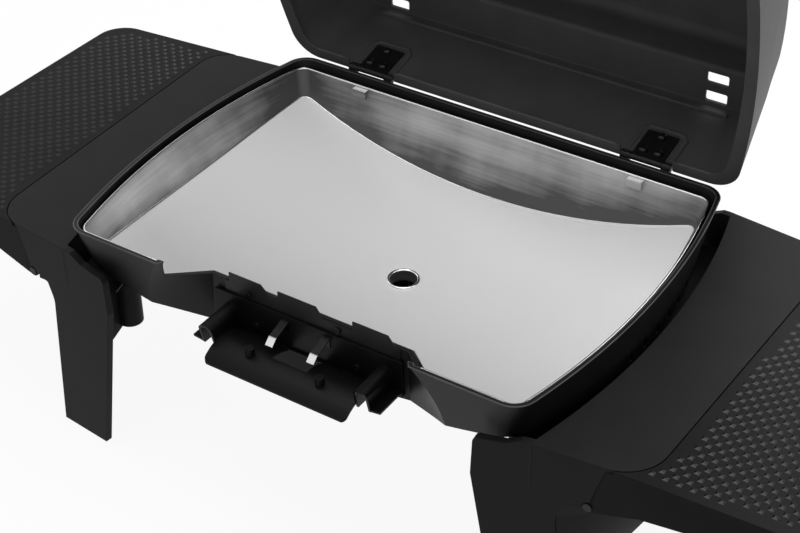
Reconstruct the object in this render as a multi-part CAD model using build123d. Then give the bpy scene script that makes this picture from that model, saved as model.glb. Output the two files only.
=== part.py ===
from build123d import *
import os
from math import atan, cos, hypot, sqrt

os.makedirs("parts", exist_ok=True)

# Electric barbecue grill with its lid open and both side tables out, in millimetres.
# Every piece is drawn from the rim of the cook box: x to the right of the middle, y back from the
# front edge of the rim, z up from its top. At the end all of them are set down on the ground.
rim_height = 324.6
depth_middle = 316.73

# Clearances
running_clearance = 0.05
face_clearance = 0.3
overrun = 5.0
bite = 1.0

# Cook box
box_depth = 478.6
front_half_width = 302.7
rear_half_width = 307.8
side_bow = 29.8
box_corner = 28.0
rim_width = 4.0
wall_taper_share = 0.252
dish_radius_across = 862.0
dish_radius_along = 1190.0
dish_centre = 245.0
dish_half_span = 380.0
dish_headroom = 40.0
dish_swing = 18.0
box_low = 128.0
floor_thickness = 5.0

# Recess in the middle of the box's front
recess_depth = 54.0
recess_wall = 5.0
recess_back_half = 132.0
recess_back_gain = 4.0
recess_reference_drop = 86.2
cheek_share = 0.70
cheek_gain_share = 1.37
mouth_drop = 33.0
mouth_setback = 7.0
mouth_lean = 13.0

# Slots in the side walls
slot_count = 6
slot_pitch = 30.4
slot_first = 196.0
slot_width = 6.0
slot_top = 45.0
slot_bottom = 57.0
slot_reach = 60.0

# Drain
drain_depth_place = 250.0
drain_hole_radius = 22.0
spout_radius = 28.0
spout_low = 146.0

# Pads, bosses and pegs cast on the box
pad_x = 277.0
pad_front = 58.0
pad_radius = 15.0
pad_low = 100.0
rail_boss_radius = 7.0
peg_radius = 6.0
peg_x = 180.0
peg_front = 120.0
peg_back = 370.0
seat_inner = 166.0
seat_outer = 238.0
seat_top = 3.0
seat_bottom = 30.0
seat_sink = 20.0
seat_reach = 1.9

# Liner
liner_drop = 8.0
liner_front_inset = 8.5
liner_rear_inset = 13.5
liner_end_inset = 5.5
liner_belly_share = 0.44
liner_sheet = 1.2
liner_low = 112.0
liner_corner = 16.0
liner_gap = 3.0
liner_mouth_drop = 36.0
liner_mouth_setback = 12.0
liner_hole_radius = 17.0
collar_radius = 20.5
collar_low = 126.0
lug_x = 202.0
lug_half_width = 10.0
lug_half_height = 5.5
lug_drop = 16.0
lug_stand = 3.0
clip_x = 197.0
clip_half_width = 7.5
clip_sheet = 1.2
clip_low = 20.0

# Lid, drawn closed and then swung open
lid_spread = 11.0
lid_rim_gap = 1.0
lid_corner = 41.0
lid_wall = 4.0
lid_flange_width = 15.0
lid_flange = 3.0
lid_end_share = 0.20
lid_open_angle = 77.2
lid_rear_shoulder = 128.0
lid_step_back = 436.0
lid_step = 139.5
lid_riser_back = 430.0
lid_riser_top = 186.0
lid_crown = 197.0
lid_crown_back = 330.0
lid_brow = 180.0
lid_brow_back = 130.0
lid_front_top = 75.0
lid_shoulder_round = 9.0
lid_step_round = 3.0
lid_riser_round = 20.0
lid_crown_round = 500.0
lid_brow_round = 200.0
lid_front_round = 70.0
lid_end_top = 200.0
lid_end_round = 80.0
lid_slack = 2.0
bead_radius = 2.5
bead_half_length = 258.0
bead_up = 110.0
vent_inner = 220.5
vent_outer = 250.0
vent_fronts = (441.5, 467.5)
vent_length = 15.0
vent_corner = 2.5
vent_cut = 12.0

# Lid hinges
hinge_back = 486.0
hinge_up = 1.9
barrel_radius = 4.5
hinge_pin_radius = 2.5
leaf_inner = 181.0
leaf_outer = 223.0
leaf_thickness = 3.0
leaf_top = 48.0
ear_width = 12.5
ear_gap = 0.5
ear_low = 12.0
notch_margin = 1.5
notch_top = 10.0
bolt_radius = 2.5
bolt_head_radius = 6.0
bolt_head = 5.0
upper_bolt_x = 203.0
upper_bolt = 41.0
lower_bolt_x = (191.5, 212.0)
lower_bolt = 12.4
hinge_screw_x = (185.0, 219.0)
hinge_screw_drop = 20.0
screw_radius = 2.0
screw_head_radius = 4.2
screw_head = 2.4
screw_bite = 8.0

# Lid handle
handle_radius = 11.0
handle_half_length = 130.0
handle_reach = 40.0
handle_up = 26.0
post_radius = 8.0
post_x = 100.0
post_screw_depth = 16.0

# End frames, drawn on the right
frame_inner = 315.6
frame_front = 0.5
frame_back = 493.8
frame_hollow_x = 348.5
splay_share = 0.1077
platform_drop = 37.8
platform_thickness = 4.0
parting_x = 439.9
parting_share = 0.0389
parting_front_round = 52.0
parting_rear_round = 42.0
skirt_low = 92.0
skirt_thickness = 3.5
inner_skirt_back = 92.0
plate_thickness = 9.0
shoulder_inner = 252.0
shoulder_outer = 262.0
shoulder_drop = 52.5
shoulder_round = 8.0
slope_x = (306.0, 288.5)
slope_drop = (38.5, 48.0)
leg_side_drop = 105.0
leg_side_x = 250.0
foot_inner = 287.0
foot_outer = 363.0
knee_x = 348.0
knee_drop = 128.0
knee_round = 30.0
apron_x = (356.0, 380.0, 393.0)
apron_drop = (104.0, 95.5, 92.0)
frame_end = 400.0
wing_back = 80.0
wing_thickness = 4.0
wing_drops = (92.0, 128.0, 158.0, 185.0)
wing_front_x = (354.0, 348.5, 350.5, 352.5)
wing_rear_x = (449.0, 433.0, 417.0, 403.0)
wing_foot_rear = 375.0
boss_radius = 16.0
boss_low = 163.0
rib_inner = 281.0
rib_outer = 289.0
rib_leg_low = 215.0
rib_mid_depth = 24.0
rib_mid_low = 178.0
frame_ear_inner = 350.0
frame_ear_outer = 396.0
frame_ear_back = 24.0
frame_ear_low = 108.0
frame_bolt_radius = 4.0
frame_bolt_head_radius = 7.0
frame_bolt_head = 5.0
frame_bolt_top = 86.0

# Side tables, drawn on the right
table_outer = 630.0
table_front_outer = 19.1
table_rear_outer = 463.2
table_corner = 40.0
table_sheet = 4.0
table_apron = 3.5
parting_gap = 1.5
apron_low_inner = 94.0
apron_rise_share = 0.1135
inner_lip = 20.0
pivot_x = 382.0
pivot_drop = 99.4
lobe_radius = 7.5
lobe_front = 9.3
lobe_thickness = 6.7
lobe_reach = 436.0
lobe_top_gap = 0.7
table_pin_radius = 3.0
table_pin_head_radius = 5.0
table_pin_head = 1.8
table_pin_end = 22.0

# Front shield
shield_thickness = 1.5
shield_left = 115.0
shield_right = 125.0
shield_low = 57.0
shield_top = 34.0
tab_top = 21.5
tab_left_edges = (-109.0, -40.0, 62.0)
tab_right_tops = (-64.0, 12.6, 109.0)
tab_right_feet = (-52.0, 21.5, 118.7)
shield_screw_x = (-82.0, 42.0)
shield_screw_drop = 42.0

# Control bracket and its spring clips
bracket_half = 129.0
bracket_top = 49.0
bracket_low = 97.0
bracket_plate = 3.0
tongue_half = 97.0
tongue_crown_depth = 8.0
tongue_crown_drop = 85.0
tongue_tip_depth = -18.0
tongue_tip_drop = 99.0
tongue_thickness = 3.0
tongue_corner = 6.0
rail_top_drop = 62.0
rail_top_outer = 116.0
rail_foot_outer = 129.0
rail_foot_rise = 3.0
rail_foot_drop = 94.0
rail_front = -5.0
rail_foot_front = 8.0
rail_sheet = 3.0
window_half = 24.0
window_front = 15.0
window_back = 46.0
guard_left = 60.0
guard_right = 14.0
guard_low = 122.0
peg_up_x = 48.0
peg_up_depth = 7.0
peg_up_radius = 5.5
peg_up_top = 74.0
spring_x = 28.4
spring_half_width = 5.0
spring_sheet = 1.0
spring_tip_depth = 16.4
spring_tip_drop = 70.0
spring_bend_depth = 24.0
spring_bend_drop = 63.0
spring_foot_top = 55.0
spring_foot_low = 68.0
bracket_screw_x = 70.0
bracket_screw_drop = 80.0

# Drip tray and its rails
tray_half = 75.0
tray_front = 165.0
tray_back = 335.0
tray_top = 150.0
tray_low = 180.0
tray_sheet = 1.5
tray_flange = 9.0
tray_floor_round = 8.0
rail_sheet_thickness = 1.5
tray_rail_top = 140.0
tray_rail_foot = 7.0
tray_rail_seat = 15.0
rail_boss_x = 93.0
rail_boss_front = 190.0
rail_boss_back = 310.0
side_gap = 0.5

# Values that follow from the ones above
frame_middle = (frame_front + frame_back) / 2
lid_rear = box_depth + lid_spread
pad_back = 2 * frame_middle - pad_front
splay_cos = cos(atan(splay_share))
hinge_axis = Axis((0, hinge_back, hinge_up), (1, 0, 0))
hinge_seat_back = box_depth + seat_reach
leaf_front = lid_rear - lid_wall - leaf_thickness
ear_inner = leaf_inner - ear_gap - ear_width
ear_outer = leaf_outer + ear_gap + ear_width
lobe_back = lobe_front + lobe_thickness


# Shapes used by several pieces
def block(low_x, high_x, low_y, high_y, low_z, high_z):
    centre = Pos((low_x + high_x) / 2, (low_y + high_y) / 2, (low_z + high_z) / 2)
    return centre * Box(high_x - low_x, high_y - low_y, high_z - low_z)


def upright(radius, x, y, low, high):
    return Pos(x, y, (low + high) / 2) * Cylinder(radius, high - low)


def rod_across(radius, y, z, low, high):
    return Pos((low + high) / 2, y, z) * Rot(0, 90, 0) * Cylinder(radius, high - low)


def rod_back(radius, x, z, front, back):
    return Pos(x, (front + back) / 2, z) * Rot(90, 0, 0) * Cylinder(radius, back - front)


def outline(points, rounds=()):
    face = make_face(Polyline(*points, close=True))
    for place, radius in rounds:
        corner = face.vertices().sort_by_distance(Vector(*place))[0]
        face = fillet(corner, radius)
    return face


def raised(face, low, high):
    return extrude(Pos(0, 0, low) * face, high - low)


def front_view(face, front, back):
    return Pos(0, back, 0) * extrude(Plane.XZ * face, back - front)


def side_view(face, low, high):
    return Pos(low, 0, 0) * extrude(Plane.YZ * face, high - low)


def both_sides(shape):
    return shape + mirror(shape, about=Plane.YZ)


def front_and_back(shape):
    middle = Plane(origin=(0, frame_middle, 0), z_dir=(0, 1, 0))
    return shape + mirror(shape, about=middle)


def group(shapes):
    return Compound(children=[solid for shape in shapes for solid in shape.solids()])


# Plans of the box, of the liner and of the lid. Insets are given for the front, the rear and the ends
box_insets = (0, 0, 0)
rim_insets = (rim_width, rim_width, rim_width)
liner_insets = (liner_front_inset, liner_rear_inset, liner_end_inset)


def deeper(insets, amount):
    return tuple(inset + amount for inset in insets)


def plan(insets, belly_inset, corner):
    front = insets[0]
    rear = box_depth - insets[1]
    half_front = front_half_width - insets[2]
    half_rear = rear_half_width - insets[2]
    belly = (front_half_width + rear_half_width) / 2 + side_bow - belly_inset
    middle = (front + rear) / 2
    edges = Line((-half_front, front), (half_front, front))
    edges += ThreePointArc((half_front, front), (belly, middle), (half_rear, rear))
    edges += Line((half_rear, rear), (-half_rear, rear))
    edges += ThreePointArc((-half_rear, rear), (-belly, middle), (-half_front, front))
    face = make_face(edges)
    return fillet(face.vertices(), corner)


def tapered(insets, corner, top, low, belly_share=0):
    faces = []
    for level in (low, top):
        belly_inset = insets[2] - level * belly_share
        face = plan(deeper(insets, -level * wall_taper_share), belly_inset, corner)
        faces.append(Pos(0, 0, level) * face)
    return loft(faces, ruled=True)


def liner_form(amount, top):
    corner = liner_corner - max(amount, 0)
    return tapered(deeper(liner_insets, amount), corner, top, -box_low, liner_belly_share)


def above_dish(low):
    rise = dish_radius_across - sqrt(dish_radius_across**2 - dish_half_span**2)
    edges = ThreePointArc((-dish_half_span, rise - low), (0, -low), (dish_half_span, rise - low))
    edges += Polyline(
        (dish_half_span, rise - low),
        (dish_half_span, dish_headroom),
        (-dish_half_span, dish_headroom),
        (-dish_half_span, rise - low),
    )
    section = Pos(0, dish_centre, 0) * (Plane.XZ * make_face(edges))
    hub = Axis((0, dish_centre, dish_radius_along - low), (1, 0, 0))
    return revolve(section.rotate(hub, -dish_swing), hub, 2 * dish_swing)


def recess_void(grow, front, top, low):
    faces = []
    for level in (low, top):
        share = -level / recess_reference_drop
        slope_share = cheek_share + cheek_gain_share * share
        side = recess_back_half + recess_back_gain * share + grow * sqrt(1 + slope_share**2)
        back = recess_depth + grow
        half_back = side - slope_share * grow
        half_front = side + slope_share * (recess_depth - front)
        corners = ((-half_front, front), (half_front, front), (half_back, back), (-half_back, back))
        faces.append(Pos(0, 0, level) * outline(corners))
    return loft(faces, ruled=True)


def box_recess(grow):
    return recess_void(grow, -overrun, overrun, -box_low - overrun)


def make_cook_box():
    body = tapered(box_insets, box_corner, 0, -box_low - overrun) & above_dish(box_low)
    body -= box_recess(0)
    for y in (pad_front, pad_back):
        body += both_sides(upright(pad_radius, pad_x, y, -pad_low, -mouth_drop))
    for y in (rail_boss_front, rail_boss_back):
        body += both_sides(upright(rail_boss_radius, rail_boss_x, y, -tray_rail_top, -liner_low))
    body += upright(spout_radius, 0, drain_depth_place, -spout_low, -liner_low)
    seat = block(seat_inner, seat_outer, box_depth - seat_sink, hinge_seat_back, -seat_bottom, -seat_top)
    body += both_sides(seat)
    hollow = tapered(rim_insets, box_corner - rim_width, overrun, -box_low)
    hollow &= above_dish(box_low - floor_thickness)
    hollow -= box_recess(recess_wall)
    body -= hollow
    mouth = recess_void(recess_wall + bite, 0, overrun, -mouth_drop)
    mouth_back = recess_depth + recess_wall + overrun
    leaning = (
        (mouth_setback, overrun),
        (mouth_setback, 0),
        (mouth_setback + mouth_lean, -mouth_drop - bite),
        (mouth_back, -mouth_drop - bite),
        (mouth_back, overrun),
    )
    body -= mouth & side_view(outline(leaning), -dish_half_span, dish_half_span)
    pegs = []
    for y in (peg_front, peg_back):
        pegs.append(both_sides(upright(peg_radius, peg_x, y, -box_low, -mouth_drop)))
    for peg in pegs:
        body += (peg & above_dish(box_low - floor_thickness + bite)) - above_dish(liner_low + liner_sheet)
    body -= upright(drain_hole_radius, 0, drain_depth_place, -spout_low - overrun, -mouth_drop)
    for step in range(slot_count):
        middle = slot_first + step * slot_pitch
        slot = block(
            front_half_width - slot_reach,
            front_half_width + slot_reach,
            middle - slot_width / 2,
            middle + slot_width / 2,
            -slot_bottom,
            -slot_top,
        )
        body -= both_sides(slot)
    return body


def make_liner():
    outer = liner_form(0, -liner_drop) & above_dish(liner_low + liner_sheet)
    outer -= box_recess(recess_wall + liner_gap)
    inner = liner_form(liner_sheet, overrun) & above_dish(liner_low)
    inner -= box_recess(recess_wall + liner_gap + liner_sheet)
    body = outer - inner
    mouth_grow = recess_wall + liner_gap + liner_sheet + bite
    body -= recess_void(mouth_grow, liner_mouth_setback, overrun, -liner_mouth_drop)
    body += upright(collar_radius, 0, drain_depth_place, -collar_low, -liner_low)
    body -= upright(liner_hole_radius, 0, drain_depth_place, -collar_low - overrun, -mouth_drop)
    lug = block(
        lug_x - lug_half_width,
        lug_x + lug_half_width,
        box_depth - liner_rear_inset - liner_drop - lug_stand,
        box_depth - liner_rear_inset - liner_sheet - bite,
        -lug_drop - lug_half_height,
        -lug_drop + lug_half_height,
    )
    body += both_sides(lug & liner_form(bite, -liner_drop))
    return body


def make_liner_clip():
    clip_top = clip_sheet - liner_drop
    band = liner_form(liner_sheet, overrun) - liner_form(liner_sheet + clip_sheet, overrun)
    cap = liner_form(-clip_sheet, clip_top) - liner_form(liner_sheet + clip_sheet, overrun)
    cap -= block(-dish_half_span, dish_half_span, 0, box_depth, -box_low - overrun, -liner_drop)
    reach = block(clip_x - clip_half_width, clip_x + clip_half_width, 0, recess_depth, -clip_low, clip_top)
    return (band + cap) & reach


# The lid and what is fixed to it are drawn closed
def lid_plan_body(inset, top, low):
    faces = []
    for level in (low, top):
        ends = inset - lid_spread + (level - lid_rim_gap) * lid_end_share
        sides = inset - lid_spread
        faces.append(Pos(0, 0, level) * plan((sides, sides, ends), ends, lid_corner - inset))
    return loft(faces, ruled=True)


def lid_body(inset, low):
    step = (lid_step_back, lid_step)
    riser = (lid_riser_back, lid_riser_top)
    crown = (lid_crown_back, lid_crown)
    brow = (lid_brow_back, lid_brow)
    front = -lid_spread - lid_slack
    rear = lid_rear + lid_slack
    front_top = (front, lid_front_top)
    shoulder = (rear, lid_rear_shoulder)
    points = ((rear, low - inset), shoulder, step, riser, crown, brow, front_top, (front, low - inset))
    rounds = (
        (shoulder, lid_shoulder_round),
        (step, lid_step_round),
        (riser, lid_riser_round),
        (crown, lid_crown_round),
        (brow, lid_brow_round),
        (front_top, lid_front_round),
    )
    profile = outline(points, rounds)
    half_low = (front_half_width + rear_half_width) / 2 + side_bow + lid_spread + lid_slack
    half_top = half_low - lid_end_share * (lid_end_top - low + inset)
    right_top = (half_top, lid_end_top)
    left_top = (-half_top, lid_end_top)
    corners = ((-half_low, low - inset), (half_low, low - inset), right_top, left_top)
    section = outline(corners, ((right_top, lid_end_round), (left_top, lid_end_round)))
    if inset:
        profile = offset(profile, -inset)
        section = offset(section, -inset)
    body = lid_plan_body(inset, lid_end_top, low)
    body &= side_view(profile, -dish_half_span, dish_half_span)
    body &= front_view(section, -lid_spread - overrun, lid_rear + overrun)
    return body


def make_lid_shell():
    body = lid_body(0, lid_rim_gap) - lid_body(lid_wall, lid_rim_gap - overrun)
    edge = bite - lid_spread
    ring = plan((edge, edge, edge), edge, lid_corner - bite)
    opening = lid_flange_width - lid_spread
    ring -= plan((opening, opening, opening), opening, box_corner)
    body += raised(ring, lid_rim_gap, lid_rim_gap + lid_flange)
    inside = lid_rear - lid_wall
    body += rod_across(bead_radius, inside, hinge_up + bead_up, -bead_half_length, bead_half_length)
    notch = block(
        ear_inner - notch_margin,
        ear_outer + notch_margin,
        lid_rear - lid_flange_width - overrun,
        lid_rear + overrun,
        lid_rim_gap - overrun,
        notch_top,
    )
    body -= both_sides(notch)
    for front in vent_fronts:
        window = RectangleRounded(vent_outer - vent_inner, vent_length, vent_corner)
        place = Pos((vent_inner + vent_outer) / 2, front + vent_length / 2)
        body -= both_sides(raised(place * window, lid_rear_shoulder - vent_cut, lid_step + vent_cut))
    for x, up in bolt_places():
        body -= both_sides(rod_back(bolt_radius, x, hinge_up + up, lid_crown_back, lid_rear + overrun))
    body -= both_sides(rod_back(screw_radius, post_x, handle_up, -lid_spread - overrun, overrun))
    return body


def bolt_places():
    places = [(upper_bolt_x, upper_bolt)]
    for x in lower_bolt_x:
        places.append((x, lower_bolt))
    return places


def make_lid_leaf():
    leaf_back = leaf_front + leaf_thickness
    body = block(leaf_inner, leaf_outer, leaf_front, leaf_back, hinge_up, hinge_up + leaf_top)
    body += rod_across(barrel_radius, hinge_back, hinge_up, leaf_inner, leaf_outer)
    bore = hinge_pin_radius + running_clearance
    body -= rod_across(bore, hinge_back, hinge_up, leaf_inner - bite, leaf_outer + bite)
    for x, up in bolt_places():
        body -= rod_back(bolt_radius, x, hinge_up + up, leaf_front - overrun, lid_rear)
    return body


def make_leaf_bolt(x, up):
    level = hinge_up + up
    head = rod_back(bolt_head_radius, x, level, leaf_front - bolt_head, leaf_front)
    head = fillet(head.edges().sort_by(Axis.Y)[0], bolt_head - bite)
    return head + rod_back(bolt_radius, x, level, leaf_front - bite, lid_rear)


def make_box_hinge():
    back = hinge_seat_back + leaf_thickness
    body = block(ear_inner, ear_outer, hinge_seat_back, back, -seat_bottom, -seat_top)
    for low, high in ((ear_inner, leaf_inner - ear_gap), (leaf_outer + ear_gap, ear_outer)):
        body += block(low, high, hinge_seat_back, hinge_back, -ear_low, hinge_up)
        body += rod_across(barrel_radius, hinge_back, hinge_up, low, high)
    body -= rod_across(hinge_pin_radius, hinge_back, hinge_up, ear_inner - bite, ear_outer + bite)
    for x in hinge_screw_x:
        body -= rod_back(screw_radius, x, -hinge_screw_drop, hinge_seat_back - bite, back + bite)
    return body


def make_hinge_pin():
    return rod_across(hinge_pin_radius, hinge_back, hinge_up, ear_inner, ear_outer)


def make_box_hinge_screw(x):
    back = hinge_seat_back + leaf_thickness
    shank = rod_back(screw_radius, x, -hinge_screw_drop, hinge_seat_back - screw_bite, back + bite)
    return shank + rod_back(screw_head_radius, x, -hinge_screw_drop, back, back + screw_head)


def make_handle_bar():
    reach = -lid_spread - handle_reach
    bar = rod_across(handle_radius, reach, handle_up, -handle_half_length, handle_half_length)
    return fillet(bar.edges(), handle_radius / 3)


def make_handle_post():
    post = rod_back(post_radius, post_x, handle_up, -lid_spread - handle_reach, -lid_spread)
    post -= rod_across(handle_radius, -lid_spread - handle_reach, handle_up, 0, 2 * post_x)
    return post - rod_back(screw_radius, post_x, handle_up, -lid_spread - post_screw_depth, overrun)


def make_handle_screw():
    inside = lid_wall - lid_spread
    shank = rod_back(screw_radius, post_x, handle_up, -lid_spread - post_screw_depth, inside + bite)
    return shank + rod_back(screw_head_radius, post_x, handle_up, inside, inside + screw_head)


# The end frame on the right
def front_line(x):
    return frame_front + splay_share * (x - frame_inner)


def frame_plan(grow, inner):
    front_shift = grow * sqrt(1 + splay_share**2)
    side_shift = grow * sqrt(1 + parting_share**2)
    front_start = front_line(0) - front_shift
    rear_start = 2 * frame_middle - front_start
    front_x = (parting_x + side_shift + parting_share * front_start) / (1 - parting_share * splay_share)
    rear_x = (parting_x + side_shift + parting_share * rear_start) / (1 + parting_share * splay_share)
    front_corner = (front_x, front_start + splay_share * front_x)
    rear_corner = (rear_x, rear_start - splay_share * rear_x)
    points = (
        (inner, front_start + splay_share * inner),
        front_corner,
        rear_corner,
        (inner, rear_start - splay_share * inner),
    )
    rounds = ((front_corner, parting_front_round + grow), (rear_corner, parting_rear_round + grow))
    return outline(points, rounds)


def box_side_of_frame():
    front = (frame_inner, frame_front)
    back = (frame_inner, frame_back)
    edges = ThreePointArc(front, (frame_hollow_x, frame_middle), back)
    edges += Polyline(back, (0, frame_back), (0, frame_front), front)
    return make_face(edges)


def inner_skirt():
    side = box_side_of_frame()
    strip = raised(Pos(skirt_thickness, 0) * side - side, -skirt_low, -platform_drop)
    return strip & block(0, frame_end, frame_front, inner_skirt_back, -skirt_low, -platform_drop)


def lobe_outline(grow):
    top = -platform_drop - platform_thickness - lobe_top_gap + grow
    lean_share = (frame_end - pivot_x) / (pivot_drop - platform_drop)
    start = frame_end - lean_share * (-platform_drop - top) - grow
    foot = pivot_drop + lobe_radius + grow
    reach = lobe_reach + grow
    reach_low = apron_low_inner - apron_rise_share * (lobe_reach - frame_end) + grow
    side = pivot_x - grow
    points = ((start, top), (side, -pivot_drop), (side, -foot), (reach, -reach_low), (reach, top))
    return outline(points) + Pos(pivot_x, -pivot_drop) * Circle(lobe_radius + grow)


def make_leg_plate():
    points = [(frame_inner, -platform_drop)]
    for x, drop in zip(slope_x, slope_drop):
        points.append((x, -drop))
    shoulder = (shoulder_inner, -shoulder_drop)
    knee = (knee_x, -knee_drop)
    points += [(shoulder_outer, -shoulder_drop), shoulder, (leg_side_x, -leg_side_drop)]
    points += [(foot_inner, -rim_height), (foot_outer, -rim_height), knee]
    for x, drop in zip(apron_x, apron_drop):
        points.append((x, -drop))
    points.append((frame_end, -platform_drop))
    face = outline(points, ((shoulder, shoulder_round), (knee, knee_round)))
    turned = Plane(
        origin=(frame_inner, frame_front, 0),
        x_dir=(splay_cos, splay_share * splay_cos, 0),
        z_dir=(splay_share * splay_cos, -splay_cos, 0),
    )
    return extrude(turned * (Pos(-frame_inner, 0) * face), -plate_thickness)


def make_wing():
    drops = list(wing_drops) + [rim_height]
    fronts = list(wing_front_x) + [foot_outer - bite]
    rears = list(wing_rear_x) + [wing_foot_rear]
    faces = []
    for drop, front_x, rear_x in zip(drops, fronts, rears):
        front = front_line(front_x) + bite
        run = rear_x - front_x
        rise = wing_back - front
        length = hypot(run, rise)
        side = -wing_thickness * rise / length
        ahead = wing_thickness * run / length
        corners = (
            (front_x, front),
            (rear_x, wing_back),
            (rear_x + side, wing_back + ahead),
            (front_x + side, front + ahead),
        )
        faces.append(Pos(0, 0, -drop) * outline(corners))
    return loft(faces, ruled=True)


def make_frame():
    leg = make_leg_plate() + make_wing() + inner_skirt()
    leg += upright(boss_radius, pad_x, pad_front, -boss_low, -pad_low)
    plate_back = front_line(rib_inner) + plate_thickness - bite
    rib_points = (
        (plate_back, -pad_low),
        (pad_front, -pad_low),
        (pad_front, -boss_low),
        (rib_mid_depth, -rib_mid_low),
        (plate_back, -rib_leg_low),
    )
    leg += side_view(outline(rib_points), rib_inner, rib_outer)
    ear = block(
        frame_ear_inner,
        frame_ear_outer,
        front_line(frame_ear_outer) + bite,
        frame_ear_back,
        -frame_ear_low,
        -platform_drop - platform_thickness / 2,
    )
    ear -= block(
        pivot_x - lobe_radius - face_clearance,
        frame_ear_outer + overrun,
        -overrun,
        lobe_back + face_clearance,
        -frame_ear_low - overrun,
        -pivot_drop,
    )
    leg += ear
    leg -= front_view(lobe_outline(face_clearance), -overrun, lobe_back + face_clearance)
    leg -= block(
        pivot_x,
        frame_ear_outer + overrun,
        -overrun,
        lobe_back + face_clearance,
        -frame_ear_low - overrun,
        -pivot_drop,
    )
    leg -= rod_back(table_pin_radius, pivot_x, -pivot_drop, 0, table_pin_end)
    leg -= upright(frame_bolt_radius + running_clearance, pad_x, pad_front, -boss_low - bite, 0)
    head_room = frame_bolt_head_radius + face_clearance
    leg -= upright(head_room, pad_x, pad_front, -boss_low - frame_bolt_head - overrun, -boss_low)
    skirt = raised(frame_plan(0, frame_inner), -skirt_low, -platform_drop)
    skirt -= raised(frame_plan(-skirt_thickness, 0), -skirt_low - overrun, -platform_drop + overrun)
    lobe_sweep = lobe_outline(face_clearance) + Pos(0, -lobe_radius) * lobe_outline(face_clearance)
    skirt -= front_and_back(front_view(lobe_sweep, -overrun, lobe_back + face_clearance))
    platform = raised(
        frame_plan(0, frame_inner - rim_width) - box_side_of_frame(),
        -platform_drop - platform_thickness,
        -platform_drop,
    )
    return front_and_back(leg) + skirt + platform


def make_frame_bolt(y):
    shank = upright(frame_bolt_radius, pad_x, y, -boss_low - bite, -frame_bolt_top)
    return shank + upright(frame_bolt_head_radius, pad_x, y, -boss_low - frame_bolt_head, -boss_low)


def table_edges(inset, inner):
    front_end = front_line(frame_end)
    rear_end = 2 * frame_middle - front_end
    run_share = (inner - frame_end) / (table_outer - frame_end)
    front_inner = front_end + run_share * (table_front_outer - front_end) + inset
    rear_inner = rear_end + run_share * (table_rear_outer - rear_end) - inset
    front_corner = (table_outer - inset, table_front_outer + inset)
    rear_corner = (table_outer - inset, table_rear_outer - inset)
    points = ((inner, front_inner), front_corner, rear_corner, (inner, rear_inner))
    rounds = ((front_corner, table_corner - inset), (rear_corner, table_corner - inset))
    return outline(points, rounds)


def table_plan(inset):
    return table_edges(inset, frame_end) - frame_plan(parting_gap + inset, 0)


def make_table():
    low = apron_low_inner + overrun
    outer_low = apron_low_inner - apron_rise_share * (table_outer - frame_end)
    body = raised(table_plan(0), -low, -platform_drop)
    below = (
        (frame_end - overrun, -apron_low_inner),
        (table_outer + overrun, -outer_low),
        (table_outer + overrun, -low - overrun),
        (frame_end - overrun, -low - overrun),
    )
    body -= front_view(outline(below), -overrun, frame_back)
    body -= raised(table_plan(table_apron), -low - overrun, -platform_drop - table_sheet)
    lip = frame_plan(parting_gap + table_apron + bite, 0)
    body -= raised(lip, -low - overrun, -platform_drop - inner_lip)
    lobe = front_view(lobe_outline(0), lobe_front, lobe_back)
    lobe -= raised(frame_plan(parting_gap, 0), -platform_drop - platform_thickness - lobe_top_gap, 0)
    lobe -= rod_back(table_pin_radius + running_clearance, pivot_x, -pivot_drop, 0, table_pin_end)
    return body + (front_and_back(lobe) & raised(table_edges(0, frame_ear_inner), -low - table_corner, 0))


def make_table_pin():
    pin = rod_back(table_pin_radius, pivot_x, -pivot_drop, lobe_front - bite, table_pin_end)
    gap = running_clearance
    head_back = lobe_front - gap
    return pin + rod_back(table_pin_head_radius, pivot_x, -pivot_drop, head_back - table_pin_head, head_back)


# The shield, the bracket and its clips stand in the recess
def make_front_shield():
    points = [(-shield_left, -shield_low), (shield_right, -shield_low), (shield_right, -shield_top)]
    for left, right, foot in reversed(list(zip(tab_left_edges, tab_right_tops, tab_right_feet))):
        points += [(foot, -shield_top), (right, -tab_top), (left, -tab_top), (left, -shield_top)]
    points.append((-shield_left, -shield_top))
    body = front_view(outline(points), recess_depth - shield_thickness, recess_depth)
    for x in shield_screw_x:
        body -= rod_back(screw_radius, x, -shield_screw_drop, 0, recess_depth + bite)
    return body


def make_shield_screw(x):
    front = recess_depth - shield_thickness
    shank = rod_back(screw_radius, x, -shield_screw_drop, front - bite, recess_depth + recess_wall)
    return shank + rod_back(screw_head_radius, x, -shield_screw_drop, front - screw_head, front)


def channel(inset, radius, centre):
    low = -rail_foot_drop - inset
    spring = -rail_top_drop - radius
    left = tongue_half + inset
    right = rail_top_outer - inset
    legs = outline(((left, low), (right, low), (right, spring), (left, spring)))
    return legs + centre * Circle(radius - inset)


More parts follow.
